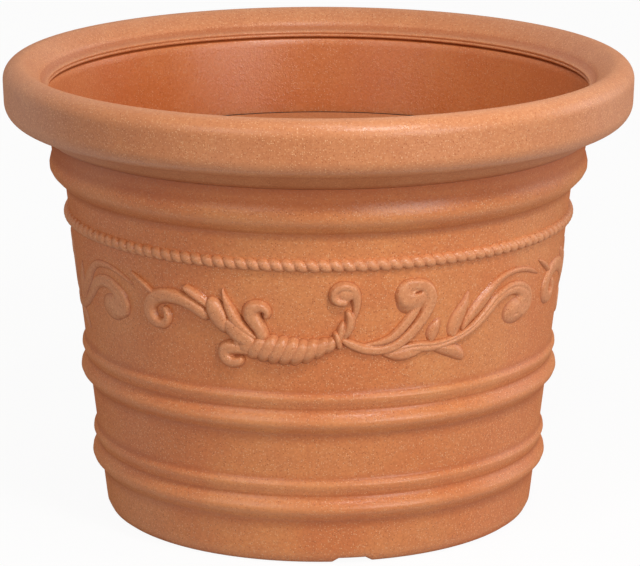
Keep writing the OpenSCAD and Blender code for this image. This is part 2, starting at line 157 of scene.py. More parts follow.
# A finished piece at the origin. Points are in mm, and their fourth column is the crest mask, which
# is 1 on what stands out and -1 in hollows.
def makePiece(name, points, quads, weld=True):
    if signedVolume(points[:, :3], quads) < 0:
        quads = quads[:, ::-1]
    mesh = bpy.data.meshes.new(name)
    mesh.vertices.add(len(points))
    mesh.vertices.foreach_set("co", (points[:, :3] * mm).astype(np.float32).ravel())
    mesh.loops.add(quads.size)
    mesh.loops.foreach_set("vertex_index", quads.astype(np.int32).ravel())
    mesh.polygons.add(len(quads))
    mesh.polygons.foreach_set("loop_start", np.arange(0, quads.size, 4, dtype=np.int32))
    mesh.update(calc_edges=True)
    crest = mesh.attributes.new("crest", "FLOAT", "POINT")
    crest.data.foreach_set("value", points[:, 3].astype(np.float32))
    if weld:
        bm = bmesh.new()
        bm.from_mesh(mesh)
        bmesh.ops.remove_doubles(bm, verts=bm.verts, dist=weldWithin * mm)
        bm.to_mesh(mesh)
        bm.free()
    mesh.polygons.foreach_set("use_smooth", np.ones(len(mesh.polygons), bool))
    mesh.update()
    piece = bpy.data.objects.new(name, mesh)
    bpy.context.scene.collection.objects.link(piece)
    return piece


# Pot wall with its floor, foot ring and neck
wall = {
    "baseR": 191.5, "lean": 6.6, "shoulderZ": 296, "thick": 6,
    "floorZ": 15, "footH": 8, "footW": 11, "footRound": 8,
    "notches": 3, "notchW": 30, "notchH": 3.5, "notchTurn": 9, "notchSide": 3, "notchIn": 2,
    "drainR": 12, "sideDrainR": 8, "sideDrainOut": 110, "drainEdge": 0.8, "drainSoft": 0.3, "plateR": 150,
    "lowerRib": 52, "upperRib": 131.9, "ribStep": 22.1,
    "largeOut": 8, "largeBelow": 13.3, "largeAbove": 13.3,  # reach of a large rib's sides
    "smallOut": 4.4, "smallBelow": 13.3, "smallAbove": 6,
    "ribToe": 2,  # over 1, a rib's toes are hollow, as moulded ones are
    "beadR": 24, "beadOut": 12, "beadBelow": 17.5, "beadToe": 1.6,
    "neckH": 88, "neckOut": 6.4, "neckLean": 9.3, "neckT": 5,
    "rootUp": 9.6, "rootT": 3.9, "rootFall": 6, "ledgeUp": 9, "seamH": 1.8, "seamDeep": 2.8,
    "valley": 0.8,  # softness of the moulded valleys
    "soft": 0.7, "lineStep": 0.25,  # rounding of all corners, and step of the outside's line
    "columns": 400, "rows": 150, "bend": 9, "footPoints": 8, "drainColumns": 48,
    "bendReach": 3, "crestGain": 12,  # a bend is felt over its reach, and its curvature times this gain makes the crest mask: rubbed paler where it bulges, painted shade where it is hollow
    "skin": 2, "insideShade": 0.7,  # what lies further in than the skin is inside, which gets this share of painted shade
    # painted shade fills the seam below the lip, from seamEdge mm under it
    "seamEdge": 0.3, "seamShade": 2,
    "beadShadow": [[-1, 0], [6, 0.55]],  # painted shadow of the rim in the angle under it: mm above the bead, and share
    "skirtShadow": [[-5, 0.65], [-2, 1.6]],  # and mm above the rim's skirt, and share
}
wallSlope = np.tan(np.radians(wall["lean"]))
neckSlope = np.tan(np.radians(wall["neckLean"]))
seatZ = wall["shoulderZ"] + wall["neckH"]
ledgeZ = wall["shoulderZ"] + wall["ledgeUp"]
footIn = wall["baseR"] - wall["footRound"] - wall["footW"]
beadZ = wall["shoulderZ"] + np.sqrt(wall["beadR"] ** 2 - (wall["beadR"] - wall["beadOut"]) ** 2)


# Radius of the leaning wall's outer face
def wallAt(z):
    return wall["baseR"] + wallSlope * z


neckR = wallAt(seatZ) + wall["neckOut"]


# Radius of the neck's inner face
def neckAt(z):
    return neckR - neckSlope * (seatZ - z)


rootZ = beadZ + wall["rootUp"]
rootR = neckAt(rootZ) + wall["rootT"]


# Radius of the neck's outer face, a straight line from its root to its top edge
def neckOutAt(z):
    return rootR + (neckR + wall["neckT"] - rootR) / (seatZ - rootZ) * (z - rootZ)


# The larger of two radii, with a soft valley where they cross
def softMax(a, b, soft):
    return 0.5 * (a + b + np.sqrt((a - b) ** 2 + soft ** 2))


# How far a rib stands out at height z: out * (1 - (dz / reach)^2)^toe, with a reach for each side
def ribOut(z, ribZ, out, below, above, toe):
    share = (z - ribZ) / np.where(z < ribZ, below, above)
    return out * np.maximum(1 - share * share, 0) ** toe


# The wall's outer face is the outermost of the leaning wall, two rib pairs, the bead and the neck
def wallFace(z):
    w = wall
    r = wallAt(z)
    ribs = 0 * z
    for base in (w["lowerRib"], w["upperRib"]):
        large = ribOut(z, base, w["largeOut"], w["largeBelow"], w["largeAbove"], w["ribToe"])
        small = ribOut(z, base + w["ribStep"], w["smallOut"], w["smallBelow"], w["smallAbove"], w["ribToe"])
        ribs = np.maximum(ribs, softMax(large, small, w["valley"]) - w["valley"] / 2)
    reach = np.maximum(w["beadR"] ** 2 - np.maximum(z - beadZ, 0) ** 2, 0)
    above = np.where(reach > 0, wallAt(beadZ) + w["beadOut"] - w["beadR"] + np.sqrt(reach) - r, 0)
    below = ribOut(z, beadZ, w["beadOut"], w["beadBelow"], w["beadBelow"], w["beadToe"])
    r = r + np.maximum(ribs, np.where(z < beadZ, below, above))
    neck = np.where(z > rootZ, neckOutAt(z), rootR - w["rootFall"] * (rootZ - z))
    return softMax(r, neck, w["valley"])


# Section of the wall: out over the floor, up the inside, down the outside, round the foot and back in
def wallProfile():
    w = wall
    seamR, seamLow = neckR + w["seamDeep"], seatZ - w["seamH"]
    z = np.arange(seatZ, w["footRound"], -w["lineStep"])
    inside = [[w["plateR"], w["floorZ"]], [wallAt(w["floorZ"]) - w["thick"], w["floorZ"]],
              [wallAt(ledgeZ) - w["thick"], ledgeZ], [neckAt(ledgeZ), ledgeZ],
              [neckAt(seamLow), seamLow], [seamR, seamLow], [seamR, seatZ]]
    outside = np.stack([wallFace(z), z], -1)
    middle = [w["baseR"] - w["footRound"], w["footRound"]]
    foot = arcLine(middle, w["footRound"], -w["lean"], -90, w["footPoints"])
    under = [[footIn, 0], [footIn, w["footH"]], [w["plateR"], w["footH"]]]
    line = softened(np.concatenate([inside, outside, foot, under]), w["soft"])
    return spread(line, w["rows"], w["bend"])


# Lift of the foot ring at its drainage notches: a box with soft sides in the angle
def notchLift(points):
    w = wall
    x, y, z = points[..., 0], points[..., 1], points[..., 2]
    angle = np.arctan2(x, -y)
    lift = 0 * angle
    for k in range(w["notches"]):
        middle = np.radians(w["notchTurn"] + 360 / w["notches"] * k)
        off = np.abs((angle - middle + np.pi) % (2 * np.pi) - np.pi) * w["baseR"]
        lift += w["notchH"] * np.clip((w["notchW"] / 2 - off) / w["notchSide"] + 0.5, 0, 1)
    ring = (z < w["footH"]) & (np.hypot(x, y) > footIn - w["notchIn"])
    points[..., 2] += np.where(ring, lift * (1 - z / w["footH"]), 0)


# Section of a drain hole: down through the floor, both its edges softened
def drainSection(radius):
    w = wall
    edge = w["drainEdge"]
    soft = edge * w["drainSoft"]
    return np.array([[radius + edge, w["floorZ"]], [radius + soft, w["floorZ"] - soft],
                     [radius, w["floorZ"] - edge], [radius, w["footH"] + edge],
                     [radius + soft, w["footH"] + soft], [radius + edge, w["footH"]]])


# A quarter of the floor: a sheet from the quarter's outline in to its drain hole, down through the
# hole and out again below. The outline is an outer arc, a spoke, an inner arc and a spoke back, and
# the shares are how far out of the hole's mouth the sheet's rows lie.
def floorQuarter(start, spokes=10, shares=(1, 0.6, 0.3, 0.1)):
    w = wall
    outer, inner = w["columns"] // 4, w["drainColumns"] // 4
    lip = w["drainR"] + w["drainEdge"]
    a = np.radians(start + np.concatenate([
        np.linspace(0, 90, outer, endpoint=False), np.full(spokes, 90.0),
        np.linspace(90, 0, inner, endpoint=False), np.zeros(spokes)]))
    r = np.concatenate([
        np.full(outer, float(w["plateR"])), np.linspace(w["plateR"], lip, spokes, endpoint=False),
        np.full(inner, float(lip)), np.linspace(lip, w["plateR"], spokes, endpoint=False)])
    outline = np.stack([r * np.sin(a), -r * np.cos(a)], -1)
    middle = np.radians(start + 45)
    hole = w["sideDrainOut"] * np.array([np.sin(middle), -np.cos(middle)])
    away = outline - hole
    away /= np.hypot(*away.T)[:, None]
    mouth = hole + (w["sideDrainR"] + w["drainEdge"]) * away
    sheet = [mouth + (outline - mouth) * share for share in shares]
    rows = [(xy, w["floorZ"]) for xy in sheet]
    rows += [(hole + radius * away, z) for radius, z in drainSection(w["sideDrainR"])]
    rows += [(xy, w["footH"]) for xy in sheet[::-1]]
    grid = np.stack([np.concatenate([xy, np.full((len(xy), 1), float(z))], -1) for xy, z in rows])
    return withCrest(grid), False, True


def buildWall():
    w = wall
    profile = wallProfile()
    r, z = profile.T
    # Painted shade darkens the inside and the seam below the lip, and a painted shadow of the rim darkens the
    # angle under it
    rimShadowHeights = [[beadZ + up, share] for up, share in w["beadShadow"]]
    rimShadowHeights += [[skirtZ + up, share] for up, share in w["skirtShadow"]]
    paintedShade = np.where(r < wallFace(z) - w["skin"], w["insideShade"], np.interp(z, *np.array(rimShadowHeights).T))
    paintedShade[z > seatZ - w["seamH"] - w["seamEdge"]] = w["seamShade"]
    crest = ridgeWearAndShade(profile, w["bendReach"], w["crestGain"])
    crest = np.clip(crest * (1 - np.clip(paintedShade, 0, 1)) - paintedShade, -1, 1)
    grids = [(withCrest(turned(profile, w["columns"]), crest), False, True)]
    grids += [floorQuarter(start) for start in (0, 90, 180, 270)]
    grids.append((withCrest(turned(drainSection(w["drainR"]), w["drainColumns"])), False, True))
    for grid, _, _ in grids:
        notchLift(grid)
    return makePiece("pot_wall_skin", *joinGrids(grids))


# Rolled rim: its section runs from the beaded lip over the crown and the roll to the skirt
rim = {
    "width": 38.5, "lipOver": 0.8, "crestUp": 24.5, "skirtDown": 41, "edgeIn": 6.5, "edgeUp": 13,
    "slopeCove": 1, "crownBow": 1, "cornerR": 14, "cornerTurn": 105, "rollR": 17, "rollIn": 0.6, "rollUp": 32,
    "rollTurn": 78, "skirtBow": -0.6, "lipH": 6, "lipFoot": 0.3, "lipBead": 1.3, "skirtGap": 0.3,
    "shell": 5, "rollShell": 6,  # thickness, and the same at the roll's widest
    "skirtBack": [-0.1, 1.2], "rollBack": [5, -11], "edgeBack": [3, -4],  # steps to the shell's back
    "lipSoft": 0.25, "lipStep": 0.1, "soft": 1.3,  # rounding of the lip, its step, rounding of the rest
    "columns": 400, "rows": 190, "lipRows": 60, "bend": 9, "lipBend": 2.5,
    "beadPoints": 12, "slopePoints": 12, "backStep": 6,
    "bendReach": 4, "crestGain": 10,  # as for the wall
    "shadeUp": 5,  # height over which the painted shade at the skirt's foot fades
}
crestZ, skirtZ = seatZ + rim["crestUp"], seatZ - rim["skirtDown"]


def buildRim():
    m = rim
    shell = m["shell"]
    lipR = neckR - m["lipOver"]
    rimR = lipR + m["width"]
    lipTop = [lipR, seatZ + m["lipH"]]
    heights = seatZ + m["lipFoot"] + m["lipBead"] + np.array([0, m["lipH"] / 2])
    beads = [arcLine([lipR, height], m["lipBead"], -90, -270, m["beadPoints"]) for height in heights]
    edge = [lipR + m["edgeIn"], seatZ + m["edgeUp"]]
    corner = [rimR - m["cornerR"], crestZ - m["cornerR"]]
    roll = [rimR - m["rollIn"] - m["rollR"], skirtZ + m["rollUp"]]
    skirt = [neckOutAt(skirtZ) + m["skirtGap"], skirtZ]
    cornerArc = arcLine(corner, m["cornerR"], m["cornerTurn"], 0)
    rollArc = arcLine(roll, m["rollR"], 0, -m["rollTurn"])
    lip = np.concatenate([[[lipR + shell, seatZ], [lipR, seatZ]], *beads, [lipTop]])
    over = np.concatenate([
        bowLine(lipTop, edge, -m["slopeCove"], m["slopePoints"]),
        bowLine(edge, cornerArc[0], m["crownBow"]), cornerArc, rollArc,
        bowLine(rollArc[-1], skirt, m["skirtBow"])])
    lip = spread(softened(lip, m["lipSoft"], m["lipStep"]), m["lipRows"], m["lipBend"])
    over = spread(softened(over, m["soft"]), m["rows"] - m["lipRows"], m["bend"])
    back = np.array([
        np.add(skirt, m["skirtBack"]), [neckOutAt(skirtZ + shell) + m["skirtGap"], skirtZ + shell],
        np.add(roll, m["rollBack"]), [rimR - m["rollShell"], roll[1]], [rimR - shell, corner[1]],
        [corner[0], crestZ - shell], np.add(edge, m["edgeBack"]), [lipR + shell, lipTop[1]]])
    back = evenly(back, m["backStep"])
    profile = np.concatenate([lip, over[1:], back])
    r, z = profile.T
    crest = np.zeros(len(profile))
    crest[len(lip) - 1:-len(back)] = ridgeWearAndShade(over, m["bendReach"], m["crestGain"])
    # Painted shade on the skirt's foot, under the roll
    crest -= np.where(r < roll[0], np.interp(z, [skirtZ, skirtZ + m["shadeUp"]], [1, 0]), 0)
    grid = withCrest(turned(profile, m["columns"]), crest)
    return makePiece("rolled_rim_skin", *joinGrids([(grid, True, True)]))


# Rope moulding: each place on the section moves out and in with the strands that pass it
rope = {
    "z": 273.6, "d": 11, "sink": 0.8,
    "strands": 139,  # strands met on one walk round the pot
    "lay": -1.1,  # strands met on one walk round the rope itself
    "deep": 2.4,  # depth of the grooves between strands
    "proud": 0.25,  # how far the strands' crests stand out of the rope's plain round
    "wrap": 112,  # degrees of the section that the strands cover, to each side of its front
    "buried": 0.6,  # depth of the rope's back in the wall
    "crestGain": 0.8,  # crest mask of the strands: wear on their crests, painted shade in the grooves
    "perStrand": 14, "across": 22,
}


# Rounded strand: the root of |sin|, 1 on its crest and 0 in the sharp groove between two strands
def strandLobe(phase):
    return np.sqrt(np.abs(np.sin(np.pi * phase)))


def buildRope():
    m = rope
    around = np.linspace(0, 2 * np.pi, m["strands"] * m["perStrand"], endpoint=False)[None, :]
    across = np.radians(np.linspace(-m["wrap"], m["wrap"], m["across"]))[:, None]
    lobe = strandLobe(m["strands"] * around / (2 * np.pi) - m["lay"] * across / (2 * np.pi))
    radius = m["d"] / 2 + m["proud"] - m["deep"] * (1 - lobe)
    r = wallAt(m["z"]) - m["sink"] + radius * np.cos(across)
    z = m["z"] + radius * np.sin(across)
    r = np.maximum(r, wallAt(z) - m["buried"])
    grid = np.stack([r * np.sin(around), -r * np.cos(around), z + 0 * around, m["crestGain"] * (2 * lobe - 1)], -1)
    return makePiece("rope_moulding_strands", *joinGrids([(grid, True, True)]))


# Frieze: each ornament is a height field of strokes and domes. A row of a stroke is [u, v, w, h]:
# u degrees to the right of its horn's middle, v mm above the frieze's middle line, then the
# stroke's width and height. A dome is [u, v, long radius, short radius, turn, height].
frieze = {
    "z": 215, "pitch": 107, "backStretch": 1.3, "unitAngle": 0.2653,
    "grain": 0.7, "lineStep": 0.6,  # steps of the height fields and along a stroke
    "fillet": 0.7, "sunk": 0.25, "back": 1.2, "margin": 2.5,
    "flat": 3.4,  # how flat a stroke's back is: 2 is round, and more is flatter with steeper sides
    "domeFlat": 2.4,  # the same for a dome
    "blend": 0.6,  # softness where strokes meet
    "flank": 0.22,  # share of the relief left at the pot's sides, where the mould parts
    "bottom": -8.0,  # height of a field far from its strokes
    "cutOff": -0.095,  # lift under which a field isn't part of the relief
    "crestRise": 3, "crestShift": 0.9, "crestMost": 0.6,  # the crest mask is height divided by the first, less the second, and at most the third: painted shade where a relief lies low by the wall, wear on its tops
}
unitW = np.radians(frieze["unitAngle"]) * wallAt(frieze["z"])

# An ornament's strokes and domes blend softly. Crisp strokes are laid over them with plain edges, and
# pits are domes cut out. A light one has the paler clay. A stroke's form is its carving: ribs with
# their count, slant and depth, a groove with its depth, or a leaf's fold.
ornaments = {
    "horn": {"light": True, "strokes": [{"form": "ribs", "count": 8.6, "slant": -0.5, "deep": 2.6, "rows": [
        [-17.6, -12.5, 17, 7], [-14.5, -15, 24, 8.8], [-11.5, -16, 27, 10], [-7, -17.4, 27, 10],
        [-4, -17.8, 24, 9.5], [-1.5, -16, 20, 9], [0.5, -14, 17, 8.2], [2.2, -11.8, 14.5, 7.5],
        [3.2, -10.2, 12.5, 6.5]]}]},
    "horn_tie": {"strokes": [{"rows": [
        [3.9, -2, 6, 6.5], [4.3, -7, 7.5, 7.6], [4.7, -13, 6, 6]]}]},
    "twisted_stem": {"light": True, "blend": 2.4,
        "strokes": [{"rows": [
            [8, 12, 4, 2], [8.3, 18, 6, 3], [8.4, 25, 8, 4], [8.2, 32, 9, 5], [7.6, 38, 8, 6],
            [6.3, 40.6, 8, 6.5], [4.7, 40.4, 8, 7], [3.5, 36.5, 8, 7], [3.3, 31, 8, 7],
            [4.1, 27.2, 8, 7], [5.6, 26, 7.5, 6.5]]}],
        "crisp": [
            {"rows": [[4.7, -6, 6, 6], [4.9, -1, 7.5, 6.5], [5.1, 4, 6, 6], [5.4, 8.5, 3, 4]]},
            {"rows": [[5.8, -6, 4, 4], [6.5, 0, 8, 6.5], [7, 6, 9, 7], [7, 12, 8, 6.5], [6.5, 17, 5, 5]]}],
        "domes": [[5.9, 33.6, 10.5, 9.5, 0, 6.6]], "pits": [[6.9, 26.5, 3.4, 1.3, 60, 3]]},
    "upper_scroll": {"light": True, "blend": 2,
        "strokes": [{"flat": 4.5, "rows": [
            [5.6, -8, 6, 5], [7.8, -12.6, 8.5, 5.2], [10.7, -16.9, 9, 5], [14, -18.2, 9, 5],
            [17, -15.8, 9.5, 5], [20, -8.6, 10, 5], [22.2, -0.4, 10, 5], [24.3, 10, 10, 5],
            [25.6, 20, 10.5, 5], [25.6, 28, 11, 5], [24.3, 35.5, 11, 5], [21.9, 38.8, 10.5, 5],
            [19.8, 37, 12.5, 5], [19.1, 31, 15, 5.5], [19.6, 26, 16, 5.5]]}],
        "crisp": [{"flat": 4.5, "rows": [
            [10.7, -12.7, 2.5, 2.5], [13.6, -11.3, 5.5, 4.2], [16.2, -8.2, 7.5, 5],
            [18.4, -1.4, 8.8, 5.2], [20.5, 7.8, 8.8, 5.2], [22, 16, 7.5, 5], [22.9, 21.5, 4, 4.2]]}],
        "domes": [[21.5, 25.5, 15.5, 12.5, 22, 6.2]], "pits": [[22.3, 31.5, 3.8, 1.6, 8, 4.4]]},
    "lower_scroll": {"light": True, "blend": 1.6,
        "strokes": [{"form": "groove", "deep": 1, "flat": 4.5, "rows": [
            [16.5, -20, 5, 3.5], [19.5, -19, 9, 4.2], [23, -18.3, 10.5, 4.5], [27, -19, 9.5, 4.5],
            [31, -17, 8.5, 4.5], [34.5, -13, 8, 5], [37.5, -7.5, 8.5, 5.2], [40, -0.8, 9, 5.2],
            [42, 5.5, 10, 5.2], [44.3, 13, 11, 5.2], [47.3, 17.7, 11.5, 5], [50.8, 18.8, 12.5, 5],
            [54, 14.5, 14, 5], [56.3, 8, 14, 5], [56.6, 0, 13, 5], [54.4, -5, 12, 5]]}],
        "domes": [[51.6, -2.4, 17, 11.5, 0, 5.6], [54, 5, 9, 9, 0, 5.2]], "pits": [[51.5, -5, 4, 1.2, 0, 2]]},
    "long_leaf": {"strokes": [{"form": "fold", "flat": 4.5, "rows": [
        [34.7, -7.5, 4, 3.5], [35.6, -1.5, 9, 4.5], [37, 4.8, 12.5, 5], [39, 11.5, 14, 5],
        [41, 18.7, 12.5, 5], [42.9, 25.5, 10, 5], [45.3, 31, 8, 4.5], [48, 33.8, 7, 4],
        [51.5, 34.2, 6, 3.5], [55, 32, 5.5, 3.2], [58, 28.3, 4.5, 2.6], [60.3, 24.5, 2, 1.6]]}]},
    "tall_leaf": {"strokes": [{"form": "fold", "rows": [
        [32.4, -13, 7, 3], [32.2, -6, 15, 4], [33, 2, 17, 4.4], [34, 9.5, 14, 4.6], [34.9, 17, 9, 4],
        [35.5, 25, 2.5, 2.2]]}]},
    "small_leaf": {"strokes": [{"form": "fold", "rows": [
        [26.5, -13, 7, 3], [26.6, -7, 13.5, 4.2], [27.2, -1.3, 11.5, 4.4], [28, 4.3, 3.5, 2.2]]}]},
    "root_leaf": {"strokes": [{"rows": [
        [24.5, -20, 5, 3.5], [21.6, -21.8, 12, 4.5], [18.5, -23.3, 12.5, 4.8], [15.2, -22, 5, 3]]}]},
    "drooping_leaf": {"strokes": [{"form": "fold", "rows": [
        [28.2, -22, 8, 3.5], [30.3, -23.4, 13, 4.6], [32.4, -26, 14.5, 4.8], [34, -29.5, 12.5, 4.4],
        [34.9, -33, 7, 3]]}]},
    "arch_scroll": {"light": True, "strokes": [{"rows": [
        [-26.2, 10.3, 12, 6.5], [-29, 16.6, 13.5, 7], [-32, 20.6, 14, 7], [-35.5, 21.8, 14.3, 7],
        [-39, 18.8, 14.3, 7], [-41.2, 11, 15, 7], [-41.3, 2.5, 15, 7], [-40, -3.2, 12, 7],
        [-38, -4.7, 10, 6.5], [-36.6, -1.2, 8.5, 6], [-36.1, 4, 8, 6], [-36.7, 9.5, 6, 5]]}]},
    "tip_leaf": {"strokes": [{"rows": [
        [-40.4, 22.5, 5, 4.5], [-42.4, 27.5, 5.5, 5], [-44.5, 32, 4.5, 4.5], [-46.6, 36, 2, 2.5]]}]},
    "side_bud": {"strokes": [{"form": "fold", "rows": [
        [-25.4, 19.5, 9, 5.5], [-27.3, 24.3, 11.5, 6.5], [-29.3, 28.8, 11.5, 6.5], [-30.3, 31, 9.5, 6]]}]},
    "mouth_bulb": {"light": True, "strokes": [{"rows": [
        [-21.5, 2, 14, 6.5], [-22.2, 7, 18, 8.5], [-23, 13, 19.5, 9], [-23.8, 18.5, 16, 8],
        [-24.2, 22.2, 10, 6]]}]},
    "spike_leaf": {"strokes": [{"rows": [
        [-14.2, -6, 5, 6], [-15.8, -2.4, 9.5, 7.5], [-17.6, 3, 12.5, 8], [-19, 10, 11.5, 7.6],
        [-20.1, 18.5, 9.5, 6.5], [-21, 27, 5, 5], [-21.5, 34.5, 1.8, 2.5]]}]},
    "lip_leaf": {"light": True, "strokes": [{"rows": [
        [-20.3, 5.2, 11, 7], [-19.3, 1.4, 18, 8.3], [-17.8, -4, 20, 8.8], [-16, -9, 17, 8.5],
        [-14.8, -11.8, 11, 7]]}]},
    "mouth_curl": {"light": True, "strokes": [{"rows": [
        [-12.6, -4, 12.5, 7.5], [-13.3, 2.5, 13.5, 8], [-14.4, 9, 15.5, 8], [-15, 15, 17, 8],
        [-14.4, 19.6, 14.5, 8], [-13, 21.3, 11.5, 7.5], [-11.8, 19.8, 9, 7], [-11.3, 16.3, 7.5, 6.5],
        [-11.5, 13.3, 6, 6]]}]},
    "lower_curl": {"light": True, "strokes": [{"rows": [
        [-16.4, -18, 11, 6.5], [-18.8, -17.2, 13, 7], [-20.8, -18.2, 14.5, 7], [-21.7, -22.6, 14, 7],
        [-21.2, -27.8, 13, 7], [-19.8, -30.3, 11.5, 7], [-18.4, -29.3, 9.5, 7], [-17.8, -27.4, 6.5, 6]]}]},
}

# Carving of the strokes
carving = {
    "ribBite": 0.14,  # share of a horn's width that its grooves take off its sides
    "ribMiddle": 0.7, "ribSide": 0.6,  # share of a groove's depth in the middle, and what its sides add
    "grooveEnds": 8,  # a groove reaches its depth at 1 / 8 of the stroke from either end
    "grooveSide": 0.2, "grooveW": 0.16,  # its place and width, in half widths of the stroke
    "foldSide": 0.15, "foldFall": 0.35,  # place of a leaf's crest, and how far its halves fall from it
}


# Place of units (u, v) of group k: turned by the group's pitch and u, raised by v, and lift mm off the
# wall. The lift shrinks with the cosine of the angle, down to its share at the pot's sides.
def onWall(k, u, v, lift):
    stretch = np.where(k * u > 0, frieze["backStretch"], 1.0)
    a = np.radians(k * frieze["pitch"] + u * frieze["unitAngle"] * stretch)
    z = frieze["z"] + v * unitW
    flank = frieze["flank"]
    r = wallAt(z) + lift * np.where(lift > 0, np.sqrt((np.cos(a) ** 2 + flank ** 2) / (1 + flank ** 2)), 1)
    return np.stack([r * np.sin(a), -r * np.cos(a), z], -1)


# Height of a stroke over points: the best of h * (1 - (2 d / w)^flat) along its line, with its
# carving cut out of it. The place along the line runs 0 to 1 and the side -1 to 1.
def strokeHeight(points, stroke):
    line = evenly(throughRows(degreesToUnits(stroke["rows"])), frieze["lineStep"])
    away = points[:, None, :] - line[None, :, :2]
    distance = 2 * np.hypot(away[..., 0], away[..., 1]) / line[:, 2]
    flat = stroke.get("flat", frieze["flat"])
    heights = line[:, 3] * (1 - distance ** flat)
    best = np.argmax(heights, 1)
    pick = np.arange(len(points))
    height = heights[pick, best]
    along = np.gradient(line[:, :2], axis=0)
    along /= np.hypot(*along.T)[:, None]
    along, off = along[best], away[pick, best]
    ahead = (along * off).sum(-1)
    side = (along[:, 0] * off[:, 1] - along[:, 1] * off[:, 0]) * 2 / line[best, 2]
    place = (best + ahead / frieze["lineStep"]) / (len(line) - 1)
    form, cut = stroke.get("form"), 0
    if form == "ribs":
        valley = 1 - strandLobe(stroke["count"] * place + stroke["slant"] * side)
        waist = distance[pick, best] / (1 - carving["ribBite"] * valley)
        height = line[best, 3] * (1 - waist ** flat)
        cut = stroke["deep"] * (carving["ribMiddle"] + carving["ribSide"] * side * side) * valley
    if form == "groove":
        fade = np.clip(np.minimum(place, 1 - place) * carving["grooveEnds"], 0, 1)
        cut = stroke["deep"] * fade * np.exp(-((side - carving["grooveSide"]) / carving["grooveW"]) ** 2)
    if form == "fold":
        cut = carving["foldFall"] * line[best, 3] * np.minimum(np.abs(side - carving["foldSide"]), 1)
    return np.maximum(height, frieze["bottom"]) - cut


# Height of a dome over points: h * (1 - rho^flat), rho being 1 on its foot
def domeHeight(points, dome):
    u, v, long, short, turn, height = dome
    off = points - np.array([u / frieze["unitAngle"], v / unitW])
    c, s = np.cos(np.radians(turn)), np.sin(np.radians(turn))
    rho = np.hypot((off[:, 0] * c + off[:, 1] * s) / long, (off[:, 1] * c - off[:, 0] * s) / short)
    return np.maximum(height * (1 - rho ** frieze["domeFlat"]), frieze["bottom"])


# Rows whose places are counted in units of the wall instead of degrees and mm
def degreesToUnits(rows):
    return [[u / frieze["unitAngle"], v / unitW, w, h] for u, v, w, h in rows]


# Height field of one kind of ornament: its grid of places, lifts and crest mask. The lift is the
# height where that is above the wall, fades out in a fillet, and stays sunk below the wall elsewhere.
def ornamentField(kind):
    m = frieze
    strokes = kind["strokes"] + kind.get("crisp", [])
    rows = np.concatenate([degreesToUnits(stroke["rows"]) for stroke in strokes])
    reach = rows[:, 2:3] / 2 + m["margin"]
    low, high = (rows[:, :2] - reach).min(0), (rows[:, :2] + reach).max(0)
    count = np.ceil((high - low) / m["grain"]).astype(int) + 1
    u, v = np.meshgrid(np.linspace(low[0], high[0], count[0]), np.linspace(low[1], high[1], count[1]))
    points = np.stack([u.ravel(), v.ravel()], -1)
    height = np.full(len(points), m["bottom"])
    for stroke in kind["strokes"]:
        height = softMax(height, strokeHeight(points, stroke), kind.get("blend", m["blend"]))
    for dome in kind.get("domes", []):
        height = softMax(height, domeHeight(points, dome), kind.get("blend", m["blend"]))
    for stroke in kind.get("crisp", []):
        height = softMax(height, strokeHeight(points, stroke), m["blend"])
    for pit in kind.get("pits", []):
        height = height - np.maximum(domeHeight(points, pit), 0)
    height = height.reshape(u.shape)
    lift = 0.5 * (height + np.sqrt(height ** 2 + m["fillet"] ** 2)) - m["sunk"]
    # The crest mask paints shade where the relief lies low by the wall
    return u, v, lift * unitW, np.clip(height / m["crestRise"] - m["crestShift"], -1, m["crestMost"])


# A closed relief from the part of a height field that stands out of the wall: its face, its back
# inside the wall and the edge between them
def reliefMesh(field, k):
    u, v, lift, crest = field
    out = lift > frieze["cutOff"]
    kept = out[:-1, :-1] | out[1:, :-1] | out[:-1, 1:] | out[1:, 1:]
    face = onWall(k, u, v, lift)
    back = onWall(k, u, v, np.full(u.shape, -frieze["back"]))
    points = np.concatenate([face.reshape(-1, 3), back.reshape(-1, 3)])
    # The back, and so the relief's sides, get the full painted shade
    crest = np.concatenate([crest.ravel(), np.full(u.size, -1.0)])
    quads = gridQuads(*u.shape)[kept.ravel()]
    # An edge that only one kept quad uses is closed by a quad down to the back
    edges = np.concatenate([quads[:, [i, (i + 1) % 4]] for i in range(4)])
    codes = edges[:, 0] * u.size + edges[:, 1]
    single = ~np.isin(codes, edges[:, 1] * u.size + edges[:, 0])
    a, b = edges[single].T
    sides = np.stack([b, a, a + u.size, b + u.size], -1)
    quads = np.concatenate([quads, quads[:, ::-1] + u.size, sides])
    used, quads = np.unique(quads, return_inverse=True)
    return np.concatenate([points, crest[:, None]], -1)[used], quads.reshape(-1, 4)


def buildOrnament(kindName, groupName, k, field):
    piece = makePiece(groupName + "_" + kindName + "_relief", *reliefMesh(field, k), weld=False)
    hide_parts(groupName + "_" + kindName)
    return piece


# Planting shelf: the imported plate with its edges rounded
shelf = {
    "edge": 0.8, "segments": 2, "sharp": 40,  # rounding of edges that turn by more than sharp degrees
    "weldWithin": 0.005,
    "level": 0.9,  # faces whose normal rises by more than this are the plate's two sides, and stay flat
}


def buildShelf():
    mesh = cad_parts["planting_shelf"].data.copy()
    bm = bmesh.new()
    bm.from_mesh(mesh)
    bmesh.ops.remove_doubles(bm, verts=bm.verts, dist=shelf["weldWithin"] * mm)
    bm.to_mesh(mesh)
    bm.free()
    mesh.materials.clear()
    piece = bpy.data.objects.new("planting_shelf_plate", mesh)
    bpy.context.scene.collection.objects.link(piece)
    rounded = piece.modifiers.new("rounded edges", "BEVEL")
    rounded.width = shelf["edge"] * mm
    rounded.segments = shelf["segments"]
    rounded.limit_method = "ANGLE"
    rounded.angle_limit = np.radians(shelf["sharp"])
    for polygon in mesh.polygons:
        polygon.use_smooth = abs(polygon.normal.z) < shelf["level"]
    return piece


# Materials

